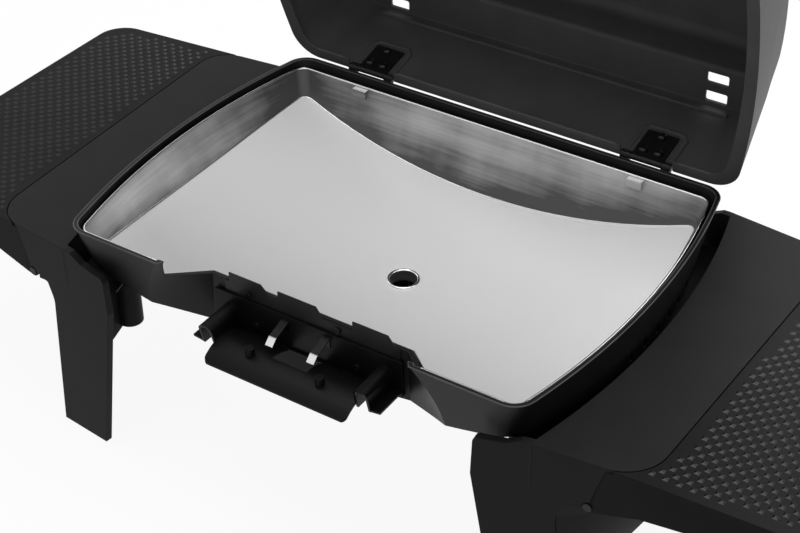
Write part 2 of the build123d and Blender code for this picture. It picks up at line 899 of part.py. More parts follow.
def make_control_bracket():
    plate_back = recess_depth - shield_thickness
    plate_front = plate_back - bracket_plate
    body = block(-bracket_half, bracket_half, plate_front, plate_back, -bracket_low, -bracket_top)
    pad_top = -shield_low - side_gap
    body += block(-bracket_half, bracket_half, plate_front, recess_depth, -bracket_low, pad_top)
    tongue_end = tongue_tip_depth - bite
    arch = ThreePointArc(
        (plate_back, -bracket_low),
        (tongue_crown_depth, -tongue_crown_drop),
        (tongue_end, -tongue_tip_drop),
    )
    under = ThreePointArc(
        (tongue_end, -tongue_tip_drop - tongue_thickness),
        (tongue_crown_depth, -tongue_crown_drop - tongue_thickness),
        (plate_back, -bracket_low - tongue_thickness),
    )
    ends = Line(arch @ 1, under @ 0)
    ends += Line(under @ 1, arch @ 0)
    tongue_edge = tongue_half + bite
    tongue = side_view(make_face(arch + under + ends), -tongue_edge, tongue_edge)
    left_tip = (-tongue_edge, tongue_tip_depth)
    right_tip = (tongue_edge, tongue_tip_depth)
    corners = (left_tip, right_tip, (tongue_edge, recess_depth), (-tongue_edge, recess_depth))
    tongue_plan = outline(corners, ((left_tip, tongue_corner), (right_tip, tongue_corner)))
    body += tongue & raised(tongue_plan, -guard_low, 0)
    rail_radius = (rail_top_outer - tongue_half) / 2
    rail_centre = Pos(tongue_half + rail_radius, -rail_top_drop - rail_radius)
    rail_face = channel(0, rail_radius, rail_centre) - channel(rail_sheet, rail_radius, rail_centre)
    rail_inside = rail_top_outer - rail_sheet
    rail_face += outline(
        (
            (rail_inside, -rail_foot_drop),
            (rail_foot_outer, -rail_foot_drop + rail_foot_rise),
            (rail_foot_outer, -rail_foot_drop + rail_foot_rise + rail_sheet),
            (rail_inside, -rail_foot_drop + rail_sheet),
        )
    )
    rail = front_view(rail_face, rail_front, plate_back)
    rake = (
        (rail_front - overrun, -bracket_top),
        (rail_front, -bracket_top),
        (rail_foot_front, -rail_foot_drop - overrun),
        (rail_front - overrun, -rail_foot_drop - overrun),
    )
    rail -= side_view(outline(rake), 0, bracket_half + overrun)
    body += both_sides(rail)
    body += block(-guard_left, guard_right, plate_front, plate_back, -guard_low, -bracket_low)
    peg = upright(peg_up_radius, peg_up_x, peg_up_depth, -tongue_crown_drop - bite, -peg_up_top)
    body += both_sides(peg)
    window_low = -tongue_tip_drop - overrun
    body -= block(-window_half, window_half, window_front, window_back, window_low, -peg_up_top)
    for x in (-bracket_screw_x, bracket_screw_x):
        body -= rod_back(screw_radius, x, -bracket_screw_drop, recess_depth / 2, recess_depth + bite)
    return body


def make_bracket_screw():
    front = recess_depth - shield_thickness - bracket_plate
    back = recess_depth + recess_wall
    shank = rod_back(screw_radius, bracket_screw_x, -bracket_screw_drop, front - bite, back)
    head = rod_back(screw_head_radius, bracket_screw_x, -bracket_screw_drop, front - screw_head, front)
    return shank + head


def make_spring_clip():
    back = recess_depth - shield_thickness - bracket_plate
    points = (
        (back, -spring_foot_top),
        (back, -spring_foot_low),
        (back - spring_sheet, -spring_foot_low),
        (back - spring_sheet, -spring_foot_top - spring_sheet - spring_sheet),
        (spring_bend_depth, -spring_bend_drop - spring_sheet),
        (spring_tip_depth, -spring_tip_drop - spring_sheet),
        (spring_tip_depth, -spring_tip_drop),
        (spring_bend_depth, -spring_bend_drop),
    )
    return side_view(outline(points), spring_x - spring_half_width, spring_x + spring_half_width)


# The drip tray slides forward on two rails under the box
def make_drip_tray():
    body = block(-tray_half, tray_half, tray_front, tray_back, -tray_low, -tray_top)
    body = fillet(body.faces().sort_by(Axis.Z)[0].edges(), tray_floor_round)
    inner = block(
        -tray_half + tray_sheet,
        tray_half - tray_sheet,
        tray_front + tray_sheet,
        tray_back - tray_sheet,
        -tray_low + tray_sheet,
        -tray_top + overrun,
    )
    inner = fillet(inner.faces().sort_by(Axis.Z)[0].edges(), tray_floor_round - tray_sheet)
    flange = block(
        tray_half - bite,
        tray_half + tray_flange,
        tray_front,
        tray_back,
        -tray_top - tray_sheet,
        -tray_top,
    )
    return body + both_sides(flange) - inner


def make_tray_rail():
    web = tray_half + tray_flange + side_gap
    outer = web + rail_sheet_thickness
    lip_top = -tray_top - tray_sheet - face_clearance
    lip_low = lip_top - rail_sheet_thickness
    points = (
        (outer - tray_rail_foot, lip_low),
        (outer, lip_low),
        (outer, -tray_rail_top - rail_sheet_thickness),
        (outer + tray_rail_seat, -tray_rail_top - rail_sheet_thickness),
        (outer + tray_rail_seat, -tray_rail_top),
        (web, -tray_rail_top),
        (web, lip_top),
        (outer - tray_rail_foot, lip_top),
    )
    body = front_view(outline(points), tray_front, tray_back)
    for y in (rail_boss_front, rail_boss_back):
        body -= upright(screw_radius, rail_boss_x, y, -tray_low, -tray_rail_top + bite)
    return body


def make_rail_screw(y):
    seat = -tray_rail_top - rail_sheet_thickness
    shank = upright(screw_radius, rail_boss_x, y, seat - bite, -tray_rail_top + screw_bite)
    return shank + upright(screw_head_radius, rail_boss_x, y, seat - screw_head, seat)


def mirrored(shape):
    return mirror(shape, about=Plane.YZ)


def opened(shape):
    return shape.rotate(hinge_axis, -lid_open_angle)


# Fasteners first, because the box is bored for them
leaf_bolts = []
for bolt_x, bolt_up in bolt_places():
    bolt = make_leaf_bolt(bolt_x, bolt_up)
    leaf_bolts += [bolt, mirrored(bolt)]
box_hinge_screws = []
for place_x in hinge_screw_x:
    screw = make_box_hinge_screw(place_x)
    box_hinge_screws += [screw, mirrored(screw)]
frame_bolts = []
for place_y in (pad_front, pad_back):
    bolt = make_frame_bolt(place_y)
    frame_bolts += [bolt, mirrored(bolt)]
shield_screws = [make_shield_screw(place_x) for place_x in shield_screw_x]
bracket_screw = make_bracket_screw()
bracket_screws = [bracket_screw, mirrored(bracket_screw)]
rail_screws = []
for place_y in (rail_boss_front, rail_boss_back):
    screw = make_rail_screw(place_y)
    rail_screws += [screw, mirrored(screw)]
handle_screw = make_handle_screw()

cook_box = make_cook_box()
for screw in box_hinge_screws + frame_bolts + shield_screws + bracket_screws + rail_screws:
    cook_box -= screw

# Pieces on the right have a mirrored twin on the left
frame = make_frame()
table = make_table()
pin_front = make_table_pin()
table_pins = front_and_back(pin_front)
lid_leaf = opened(make_lid_leaf())
handle_post = opened(make_handle_post())
box_hinge = make_box_hinge()
hinge_pin = make_hinge_pin()
spring_clip = make_spring_clip()
tray_rail = make_tray_rail()

pieces = {
    "cook_box": cook_box,
    "liner": make_liner(),
    "liner_clip": make_liner_clip(),
    "lid_shell": opened(make_lid_shell()),
    "left_lid_leaf": mirrored(lid_leaf),
    "right_lid_leaf": lid_leaf,
    "lid_leaf_bolts": group([opened(bolt) for bolt in leaf_bolts]),
    "left_box_hinge": mirrored(box_hinge),
    "right_box_hinge": box_hinge,
    "left_hinge_pin": mirrored(hinge_pin),
    "right_hinge_pin": hinge_pin,
    "box_hinge_screws": group(box_hinge_screws),
    "lid_handle_bar": opened(make_handle_bar()),
    "left_handle_post": mirrored(handle_post),
    "right_handle_post": handle_post,
    "handle_screws": group([opened(handle_screw), opened(mirrored(handle_screw))]),
    "left_frame": mirrored(frame),
    "right_frame": frame,
    "frame_bolts": group(frame_bolts),
    "left_table": mirrored(table),
    "right_table": table,
    "left_table_pins": group([mirrored(table_pins)]),
    "right_table_pins": group([table_pins]),
    "front_shield": make_front_shield(),
    "shield_screws": group(shield_screws),
    "control_bracket": make_control_bracket(),
    "bracket_screws": group(bracket_screws),
    "left_spring_clip": mirrored(spring_clip),
    "right_spring_clip": spring_clip,
    "drip_tray": make_drip_tray(),
    "left_tray_rail": mirrored(tray_rail),
    "right_tray_rail": tray_rail,
    "rail_screws": group(rail_screws),
}

for name, piece in pieces.items():
    export_step(Pos(0, -depth_middle, rim_height) * piece, os.path.join("parts", name + ".step"))
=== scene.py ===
from math import cos, radians, sin

import bmesh
import bpy
from mathutils import Matrix, Vector


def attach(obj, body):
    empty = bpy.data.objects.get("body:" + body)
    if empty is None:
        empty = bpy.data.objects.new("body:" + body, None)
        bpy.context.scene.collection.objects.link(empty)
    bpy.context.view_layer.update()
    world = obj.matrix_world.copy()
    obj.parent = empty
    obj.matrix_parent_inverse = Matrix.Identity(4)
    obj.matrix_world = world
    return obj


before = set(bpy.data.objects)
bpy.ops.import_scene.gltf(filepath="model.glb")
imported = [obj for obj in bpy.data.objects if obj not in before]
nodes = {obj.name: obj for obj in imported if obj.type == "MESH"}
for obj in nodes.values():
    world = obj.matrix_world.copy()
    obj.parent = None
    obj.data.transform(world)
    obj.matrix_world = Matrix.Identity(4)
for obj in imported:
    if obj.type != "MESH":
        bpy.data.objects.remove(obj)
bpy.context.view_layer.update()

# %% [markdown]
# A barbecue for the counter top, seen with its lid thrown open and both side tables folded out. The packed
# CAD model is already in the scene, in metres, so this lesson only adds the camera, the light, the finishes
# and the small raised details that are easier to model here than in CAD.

scene = bpy.context.scene
print("pieces from CAD:", len(nodes))

# %% [markdown]
# The camera stands in front of the grill, to its right and well above it, with a long lens. Its place was
# solved from points that mirror each other across the grill's middle, so the model lines up with the
# picture without any shift of the lens.

# %% Camera
lens_length = 77.76
sensor_width = 36.0
view_azimuth = radians(33.48)
view_elevation = radians(36.21)
view_roll = radians(-0.62)
camera_place = Vector((0.9310, -1.48153, 1.4722))


def turned_axes(azimuth, elevation, roll):
    across = Vector((cos(azimuth), sin(azimuth), 0.0))
    back = Vector((sin(azimuth) * cos(elevation), -cos(azimuth) * cos(elevation), sin(elevation)))
    up = back.cross(across)
    right = across * cos(roll) + up * sin(roll)
    top = up * cos(roll) - across * sin(roll)
    return right, top, back


right, top, back = turned_axes(view_azimuth, view_elevation, view_roll)
lens = bpy.data.cameras.new("photo_camera")
lens.lens = lens_length
lens.sensor_width = sensor_width
lens.clip_end = 50.0
camera = bpy.data.objects.new("photo_camera", lens)
scene.collection.objects.link(camera)
turn = Matrix((right, top, back)).transposed().to_4x4()
camera.matrix_world = Matrix.Translation(camera_place) @ turn
scene.camera = camera
print("camera at", tuple(round(v, 3) for v in camera_place))

# %% [markdown]
# Studio light: a soft white world fills every side, a large panel overhead gives the liner its broad
# sheen, one behind the lid is mirrored in the table tops, and two smaller ones at the sides draw the edges.
# The floor is white to the camera but still takes a faint shadow.

# %% Light and floor
scene.view_settings.view_transform = "Standard"
plain_white = (1.0, 1.0, 1.0, 1.0)
fill_strength = 0.55
white_strength = 1.0
paper_white = (0.75, 0.75, 0.75, 1.0)
paper_glow_share = 0.92
floor_half_width = 8.0
floor_drop = 0.0005
world = bpy.data.worlds.new("studio")
scene.world = world
world.use_nodes = True
sky = world.node_tree.nodes
links = world.node_tree.links
sky.clear()
fill = sky.new("ShaderNodeBackground")
fill.inputs["Color"].default_value = plain_white
fill.inputs["Strength"].default_value = fill_strength
white = sky.new("ShaderNodeBackground")
white.inputs["Color"].default_value = plain_white
white.inputs["Strength"].default_value = white_strength
path = sky.new("ShaderNodeLightPath")
shown = fill.outputs["Background"]
for kind in ("Is Glossy Ray", "Is Transmission Ray", "Is Camera Ray"):
    choose = sky.new("ShaderNodeMixShader")
    links.new(path.outputs[kind], choose.inputs["Fac"])
    links.new(shown, choose.inputs[1])
    links.new(white.outputs["Background"], choose.inputs[2])
    shown = choose.outputs["Shader"]
out = sky.new("ShaderNodeOutputWorld")
links.new(shown, out.inputs["Surface"])


def light_panel(name, place, target, size, power):
    lamp = bpy.data.lights.new(name, "AREA")
    lamp.shape = "RECTANGLE"
    lamp.size = size[0]
    lamp.size_y = size[1]
    lamp.energy = power
    panel = bpy.data.objects.new(name, lamp)
    panel.location = place
    direction = Vector(target) - Vector(place)
    panel.rotation_euler = direction.to_track_quat("-Z", "Y").to_euler()
    scene.collection.objects.link(panel)


panels = (
    ("overhead_panel", (0.1, -0.1, 2.6), (0.0, 0.0, 0.3), (2.2, 1.6), 40.0),
    ("rear_panel", (0.4, 2.2, 2.0), (0.0, 0.0, 0.35), (2.4, 1.2), 34.0),
    ("left_panel", (-2.3, 0.2, 1.5), (0.0, 0.0, 0.35), (1.0, 1.4), 6.0),
    ("right_panel", (2.3, 0.6, 1.3), (0.2, 0.1, 0.4), (0.8, 1.4), 8.0),
)
for name, place, target, size, power in panels:
    light_panel(name, place, target, size, power)

floor_mesh = bpy.data.meshes.new("floor")
slab = bmesh.new()
bmesh.ops.create_grid(slab, x_segments=1, y_segments=1, size=floor_half_width)
slab.to_mesh(floor_mesh)
slab.free()
floor = bpy.data.objects.new("floor", floor_mesh)
scene.collection.objects.link(floor)
floor.location.z = -floor_drop
paper = bpy.data.materials.new("white_paper")
paper.use_nodes = True
tree = paper.node_tree
tree.nodes.clear()
diffuse = tree.nodes.new("ShaderNodeBsdfDiffuse")
diffuse.inputs["Color"].default_value = paper_white
glow = tree.nodes.new("ShaderNodeEmission")
glow.inputs["Strength"].default_value = white_strength
ray = tree.nodes.new("ShaderNodeLightPath")
seen = ray.outputs["Is Camera Ray"]
for kind in ("Is Glossy Ray", "Is Transmission Ray"):
    either = tree.nodes.new("ShaderNodeMath")
    either.operation = "MAXIMUM"
    tree.links.new(seen, either.inputs[0])
    tree.links.new(ray.outputs[kind], either.inputs[1])
    seen = either.outputs["Value"]
share = tree.nodes.new("ShaderNodeMath")
share.operation = "MULTIPLY"
share.inputs[1].default_value = paper_glow_share
blend = tree.nodes.new("ShaderNodeMixShader")
end = tree.nodes.new("ShaderNodeOutputMaterial")
tree.links.new(seen, share.inputs[0])
tree.links.new(share.outputs["Value"], blend.inputs["Fac"])
tree.links.new(diffuse.outputs["BSDF"], blend.inputs[1])
tree.links.new(glow.outputs["Emission"], blend.inputs[2])
tree.links.new(blend.outputs["Shader"], end.inputs["Surface"])
floor_mesh.materials.append(paper)
print("light panels:", len(panels))

# %% [markdown]
# Most of this grill is black, and black only reads as a material through what its surface does to light.
# Every finish below is built the same way: a principled shader, a slow noise that shifts its colour and
# roughness a little, a fine noise that gives the grain its height, and a small rounding of the normals
# along hard edges, because no moulded or cast edge is truly sharp.

# %% A finish with grain and eased edges
no_stretch = (1.0, 1.0, 1.0)
noise_ends = (0.3, 0.7)
mottle_scale = 18.0
grain_strength = 0.35
edge_samples = 4


def coordinate(tree, stretch=no_stretch):
    place = tree.nodes.new("ShaderNodeTexCoord")
    mapping = tree.nodes.new("ShaderNodeMapping")
    mapping.inputs["Scale"].default_value = stretch
    tree.links.new(place.outputs["Object"], mapping.inputs["Vector"])
    return mapping.outputs["Vector"]


def noise(tree, vector, scale, detail=3.0):
    cloud = tree.nodes.new("ShaderNodeTexNoise")
    cloud.inputs["Scale"].default_value = scale
    cloud.inputs["Detail"].default_value = detail
    tree.links.new(vector, cloud.inputs["Vector"])
    return cloud.outputs["Fac"]


def ramp(tree, value, low, high, spread=noise_ends):
    band = tree.nodes.new("ShaderNodeValToRGB")
    band.color_ramp.elements[0].position = spread[0]
    band.color_ramp.elements[1].position = spread[1]
    band.color_ramp.elements[0].color = (low[0], low[1], low[2], 1.0)
    band.color_ramp.elements[1].color = (high[0], high[1], high[2], 1.0)
    tree.links.new(value, band.inputs["Fac"])
    return band.outputs["Color"]


def reach(tree, value, ends, to=(0.0, 1.0)):
    stretch = tree.nodes.new("ShaderNodeMapRange")
    stretch.inputs["From Min"].default_value = ends[0]
    stretch.inputs["From Max"].default_value = ends[1]
    stretch.inputs["To Min"].default_value = to[0]
    stretch.inputs["To Max"].default_value = to[1]
    tree.links.new(value, stretch.inputs["Value"])
    return stretch.outputs["Result"]


def grained_normal(tree, shader, grain, strength, height, edge):
    bump = tree.nodes.new("ShaderNodeBump")
    bump.inputs["Strength"].default_value = strength
    bump.inputs["Distance"].default_value = height
    tree.links.new(grain, bump.inputs["Height"])
    eased = tree.nodes.new("ShaderNodeBevel")
    eased.samples = edge_samples
    eased.inputs["Radius"].default_value = edge
    tree.links.new(eased.outputs["Normal"], bump.inputs["Normal"])
    tree.links.new(bump.outputs["Normal"], shader.inputs["Normal"])


def grained_finish(
    name, dark, light, rough, grain_scale, grain_height, edge, gloss=0.5, metal=0.0, stretch=no_stretch
):
    finish = bpy.data.materials.new(name)
    finish.use_nodes = True
    tree = finish.node_tree
    shader = tree.nodes["Principled BSDF"]
    shader.inputs["Metallic"].default_value = metal
    shader.inputs["Specular IOR Level"].default_value = gloss
    vector = coordinate(tree, stretch)
    mottle = noise(tree, vector, mottle_scale)
    grain = noise(tree, vector, grain_scale)
    tree.links.new(ramp(tree, mottle, dark, light), shader.inputs["Base Color"])
    tree.links.new(reach(tree, grain, noise_ends, rough), shader.inputs["Roughness"])
    grained_normal(tree, shader, grain, grain_strength, grain_height, edge)
    return finish


def grey(value):
    return (value, value, value)


cast_coat = grained_finish(
    "cast_black_coat", grey(0.003), grey(0.005), rough=(0.40, 0.52),
    grain_scale=900.0, grain_height=0.0004, edge=0.0012, gloss=0.17,
)
lid_coat = grained_finish(
    "lid_black_coat", grey(0.050), grey(0.060), rough=(0.44, 0.56),
    grain_scale=900.0, grain_height=0.0004, edge=0.0015, gloss=0.12,
)
frame_plastic = grained_finish(
    "frame_plastic", grey(0.009), grey(0.011), rough=(0.44, 0.54),
    grain_scale=1300.0, grain_height=0.0003, edge=0.0012, gloss=0.07,
)
table_plastic = grained_finish(
    "table_plastic", grey(0.006), grey(0.008), rough=(0.38, 0.48),
    grain_scale=1300.0, grain_height=0.0003, edge=0.0008, gloss=0.05,
)
stud_plastic = grained_finish(
    "stud_plastic", grey(0.003), grey(0.005), rough=(0.24, 0.30),
    grain_scale=1300.0, grain_height=0.00005, edge=0.0002, gloss=0.24,
)
# A darker copy of the moulded plastic: painted shade, for the shadow the bracket stands in. The lid's
# handle shares it.
bracket_plastic = grained_finish(
    "bracket_plastic", grey(0.002), grey(0.004), rough=(0.34, 0.44),
    grain_scale=1300.0, grain_height=0.0002, edge=0.001, gloss=0.10,
)
black_sheet = grained_finish(
    "black_sheet", grey(0.004), grey(0.006), rough=(0.30, 0.42),
    grain_scale=1500.0, grain_height=0.0001, edge=0.0006, gloss=0.2,
)
# A pale coat that paints the highlight along the box's rim; the lid's flange lip takes it too.
painted_edge_highlight = grained_finish(
    "painted_edge_highlight", grey(0.035), grey(0.060), rough=(0.36, 0.46),
    grain_scale=1500.0, grain_height=0.0001, edge=0.0003, gloss=0.3,
)
black_screw = grained_finish(
    "black_screw", grey(0.003), grey(0.006), rough=(0.22, 0.30),
    grain_scale=2500.0, grain_height=0.00005, edge=0.0009, gloss=0.25,
)
dark_steel = grained_finish(
    "dark_steel", grey(0.05), grey(0.09), rough=(0.22, 0.32),
    grain_scale=2500.0, grain_height=0.00005, edge=0.0006, gloss=0.5, metal=1.0,
)
bright_steel = grained_finish(
    "bright_steel", grey(0.62), grey(0.72), rough=(0.16, 0.26),
    grain_scale=2500.0, grain_height=0.00005, edge=0.0004, gloss=0.5, metal=1.0,
)
print("finishes:", len(bpy.data.materials))

# %% [markdown]
# The pan is pressed from bright sheet. Its floor is satin and even, because it was blasted, while its steep
# walls keep the brushed lines of the rolling. One material does both: the upward part of the surface's own
# normal tells floor from wall. On the walls, shade is painted: the height above the floor makes them darker
# towards the floor's crease, and the place along the depth makes the rear wall darker. On the floor, light
# is
# painted: it is paler towards the rear right and darker towards the front left. Nothing in it depends on
# where the camera stands.

# %% The pan's finish
pan_floor_low = 0.2127
pan_floor_middle = 0.0717
pan_round_across = 0.862
pan_round_along = 1.190
pan_wall_top = 0.314
# Painted shade on the walls: how high above the floor the crease darkening reaches, and where along the
# depth the rear wall starts to darken.
painted_crease_shade_height = 0.045
painted_rear_shade_span = (0.02, 0.12)
# Painted light on the floor: it is paler towards the rear right.
painted_floor_light_slant = 0.22
painted_floor_light_span = (-0.27, 0.07)
floor_tones_with_painted_light = (0.46, 1.0)
pan_wall_tones = (0.07, 0.66)
# Painted shade on the walls: how dark the wall is near the crease, and how much darker the rear wall is.
painted_crease_shade_climb = (0.04, 0.62)
painted_rear_shade_loss = -0.22
pan_metal = 0.25
pan_rough = (0.34, 0.44)
pan_upward = (0.84, 0.93)
band_stretch = (0.35, 0.35, 3.0)
band_change = (-0.22, 0.30)
line_stretch = (0.05, 0.05, 1.0)
line_change = (-0.06, 0.06)
blot_stretch = (1.0, 1.0, 0.4)
blot_change = (-0.16, 0.16)
hair_stretch = (0.1, 0.1, 1.0)
whole_ramp = (0.0, 1.0)


def part_of(tree, vector, axis):
    split = tree.nodes.new("ShaderNodeSeparateXYZ")
    tree.links.new(vector, split.inputs["Vector"])
    return split.outputs[axis]


def worked_out(tree, operation, *terms):
    step = tree.nodes.new("ShaderNodeMath")
    step.operation = operation
    for socket, term in zip(step.inputs, terms):
        if isinstance(term, float):
            socket.default_value = term
        else:
            tree.links.new(term, socket)
    return step.outputs["Value"]


def above_floor(tree, place):
    x = part_of(tree, place, "X")
    y = worked_out(tree, "ADD", part_of(tree, place, "Y"), pan_floor_middle)
    up = worked_out(tree, "SUBTRACT", part_of(tree, place, "Z"), pan_floor_low)
    across = worked_out(tree, "MULTIPLY", worked_out(tree, "MULTIPLY", x, x), 0.5 / pan_round_across)
    along = worked_out(tree, "MULTIPLY", worked_out(tree, "MULTIPLY", y, y), 0.5 / pan_round_along)
    return worked_out(tree, "SUBTRACT", worked_out(tree, "SUBTRACT", up, across), along)


def mixed(tree, share, first, second):
    mix = tree.nodes.new("ShaderNodeMix")
    mix.data_type = "RGBA"
    tree.links.new(share, mix.inputs["Factor"])
    tree.links.new(first, mix.inputs["A"])
    tree.links.new(second, mix.inputs["B"])
    return mix.outputs["Result"]


def pan_finish(name):
    finish = bpy.data.materials.new(name)
    finish.use_nodes = True
    tree = finish.node_tree
    shader = tree.nodes["Principled BSDF"]
    shader.inputs["Metallic"].default_value = pan_metal
    place = coordinate(tree)
    bands = noise(tree, coordinate(tree, band_stretch), 9.0, 1.0)
    lines = noise(tree, coordinate(tree, line_stretch), 260.0, 1.0)
    blots = noise(tree, coordinate(tree, blot_stretch), 14.0)
    hairs = noise(tree, coordinate(tree, hair_stretch), 1200.0)
    # Painted shade: the wall is darker near the floor's crease.
    wall_tone_and_painted_shade = reach(tree, above_floor(tree, place), (0.0, painted_crease_shade_height), painted_crease_shade_climb)
    changes = (
        reach(tree, bands, noise_ends, band_change),
        reach(tree, lines, noise_ends, line_change),
        reach(tree, blots, noise_ends, blot_change),
        # Painted shade: the rear wall is darker.
        reach(tree, part_of(tree, place, "Y"), painted_rear_shade_span, (0.0, painted_rear_shade_loss)),
    )
    for change in changes:
        wall_tone_and_painted_shade = worked_out(tree, "ADD", wall_tone_and_painted_shade, change)
    wall = ramp(tree, wall_tone_and_painted_shade, grey(pan_wall_tones[0]), grey(pan_wall_tones[1]), whole_ramp)
    # Painted light: the floor is paler towards the rear right.
    slant = worked_out(tree, "MULTIPLY", part_of(tree, place, "X"), painted_floor_light_slant)
    depth = reach(tree, worked_out(tree, "ADD", part_of(tree, place, "Y"), slant), painted_floor_light_span)
    floor_tone_with_painted_light = ramp(tree, depth, grey(floor_tones_with_painted_light[0]), grey(floor_tones_with_painted_light[1]), whole_ramp)
    facing = tree.nodes.new("ShaderNodeNewGeometry")
    upward = reach(tree, part_of(tree, facing.outputs["Normal"], "Z"), pan_upward)
    tree.links.new(mixed(tree, upward, wall, floor_tone_with_painted_light), shader.inputs["Base Color"])
    tree.links.new(reach(tree, hairs, noise_ends, pan_rough), shader.inputs["Roughness"])
    grained_normal(tree, shader, hairs, 0.2, 0.00003, 0.0012)
    return finish


pressed_pan_painted_light = pan_finish("pressed_pan_painted_light")
print("pan finish made from", len(pressed_pan_painted_light.node_tree.nodes), "nodes")

# %% [markdown]
# The bracket's spring clips are dark, and only their bent tips are bright. The tip is told from
# the arm by its place along the depth of the grill.

# %% The clips' finish
clip_tip_back = -0.2915
clip_tip_front = -0.2935


def tipped_finish(name):
    finish = grained_finish(
        name, grey(0.02), grey(0.03), rough=(0.2, 0.3), grain_scale=2500.0, grain_height=0.00005,
        edge=0.0004, metal=1.0,
    )
    tree = finish.node_tree
    shader = tree.nodes["Principled BSDF"]
    place = coordinate(tree)
    tip = reach(tree, part_of(tree, place, "Y"), (clip_tip_back, clip_tip_front))
    arm_tone = ramp(tree, noise(tree, place, 60.0), grey(0.012), grey(0.02))
    tip_tone = ramp(tree, noise(tree, place, 90.0), grey(0.66), grey(0.74))
    tree.links.new(mixed(tree, tip, arm_tone, tip_tone), shader.inputs["Base Color"])
    return finish


clip_steel = tipped_finish("clip_steel")
print("clip tip starts at", clip_tip_back)

# %% [markdown]
# The drip tray is bare sheet, brushed along its length. Round the spot under the drain hole it is dark.
# The distance to the hole's axis draws the dark spot.

# %% The tray's finish
along_y = (1.0, 0.12, 1.0)
drain_axis_back = 0.06673
dark_spot_edge = (0.060, 0.040)


def dark_spot_finish(name):
    finish = grained_finish(
        name, grey(0.62), grey(0.70), rough=(0.34, 0.42), grain_scale=700.0, grain_height=0.00003,
        edge=0.002, metal=1.0, stretch=along_y,
    )
    tree = finish.node_tree
    shader = tree.nodes["Principled BSDF"]
    place = coordinate(tree)
    x = part_of(tree, place, "X")
    y = worked_out(tree, "ADD", part_of(tree, place, "Y"), drain_axis_back)
    squares = worked_out(
        tree, "ADD", worked_out(tree, "MULTIPLY", x, x), worked_out(tree, "MULTIPLY", y, y)
    )
    dark_spot = reach(tree, worked_out(tree, "SQRT", squares), dark_spot_edge)
    bare_tone = ramp(tree, noise(tree, place, mottle_scale), grey(0.62), grey(0.70))
    dark_spot_tone = ramp(tree, noise(tree, place, 40.0), grey(0.02), grey(0.04))
    tree.links.new(mixed(tree, dark_spot, bare_tone, dark_spot_tone), shader.inputs["Base Color"])
    return finish


tray_sheet = dark_spot_finish("tray_sheet")
print("stain ends", dark_spot_edge[0], "from the drain's axis")

# %% [markdown]
# A CAD node keeps its shape and only gets a finish. Each finish is handed out by the piece's name.

# %% Finishes on the CAD nodes
worn_by = {
    "cook_box": cast_coat,
    "lid_shell": lid_coat,
    "liner": pressed_pan_painted_light,
    "drip_tray": tray_sheet,
    "left_frame": frame_plastic,
    "right_frame": frame_plastic,
    "left_table": table_plastic,
    "right_table": table_plastic,
    "control_bracket": bracket_plastic,
    "lid_handle_bar": bracket_plastic,
    "left_handle_post": bracket_plastic,
    "right_handle_post": bracket_plastic,
    "front_shield": black_sheet,
    "left_box_hinge": black_sheet,
    "right_box_hinge": black_sheet,
    "left_lid_leaf": black_sheet,
    "right_lid_leaf": black_sheet,
    "left_tray_rail": black_sheet,
    "right_tray_rail": black_sheet,
    "shield_screws": black_screw,
    "bracket_screws": black_screw,
    "lid_leaf_bolts": black_screw,
    "left_table_pins": black_screw,
    "right_table_pins": black_screw,
    "liner_clip": bright_steel,
    "left_spring_clip": clip_steel,
    "right_spring_clip": clip_steel,
}
for name, node in nodes.items():
    finish = worn_by.get(name, dark_steel)
    node.data.materials.clear()
    node.data.materials.append(finish)
print("finishes handed out by name:", len(worn_by))

# %% [markdown]
# The tables carry a field of small four-sided studs in staggered rows, so that plates do not slide. A stud
# is one low four-sided pyramid with its edges along and across the table. The field keeps an even margin to
# the table's edges and to the curved parting beside the frame.

# %% Studs on the tables
rim_height = 0.3246
depth_middle = 0.31673
table_drop = 0.0378
table_top = rim_height - table_drop
stud_pitch = 0.0151
stud_row = 0.0084
stud_first_row = 0.028
stud_radius = 0.0048
stud_tip = 0.0006
stud_height = 0.0016
stud_margin = 0.013
stud_sink = 0.0001
stud_first_x = 0.395
stud_last_y = 0.49
table_inner = 0.400
table_outer = 0.630
table_round = 0.040
table_front = 0.0096
table_front_slope = 0.0413
table_rear = 0.4847
table_rear_slope = 0.0935
parting_side = 0.4399
parting_slope = 0.0389
parting_front = 0.0135
parting_rear = 0.4795
front_round = 0.052
rear_round = 0.042


def eased_by(past, radius):
    if past <= 0:
        return 0.0
    return radius - (radius**2 - min(past, radius) ** 2) ** 0.5


def parting_x(y):
    front_past = parting_front + front_round - y
    rear_past = y - (parting_rear - rear_round)
    ease = max(eased_by(front_past, front_round), eased_by(rear_past, rear_round))
    return parting_side + parting_slope * y - ease


def on_field(x, y):
    front = table_front + table_front_slope * (x - table_inner) + stud_margin
    rear = table_rear - table_rear_slope * (x - table_inner) - stud_margin
    outer = table_outer - stud_margin
    if not (front < y < rear and parting_x(y) + stud_margin < x < outer):
        return False
    corner = table_round - stud_margin
    over_x = x - (outer - corner)
    over_y = max(front + corner - y, y - (rear - corner))
    return not (over_x > 0 and over_y > 0 and over_x**2 + over_y**2 > corner**2)


def stud_places():
    places = []
    row = 0
    y = stud_first_row
    while y < stud_last_y:
        x = stud_first_x + stud_pitch / 2 * (row % 2)
        while x < table_outer:
            if on_field(x, y):
                places.append((x, y))
            x += stud_pitch
        y += stud_row
        row += 1
    return places


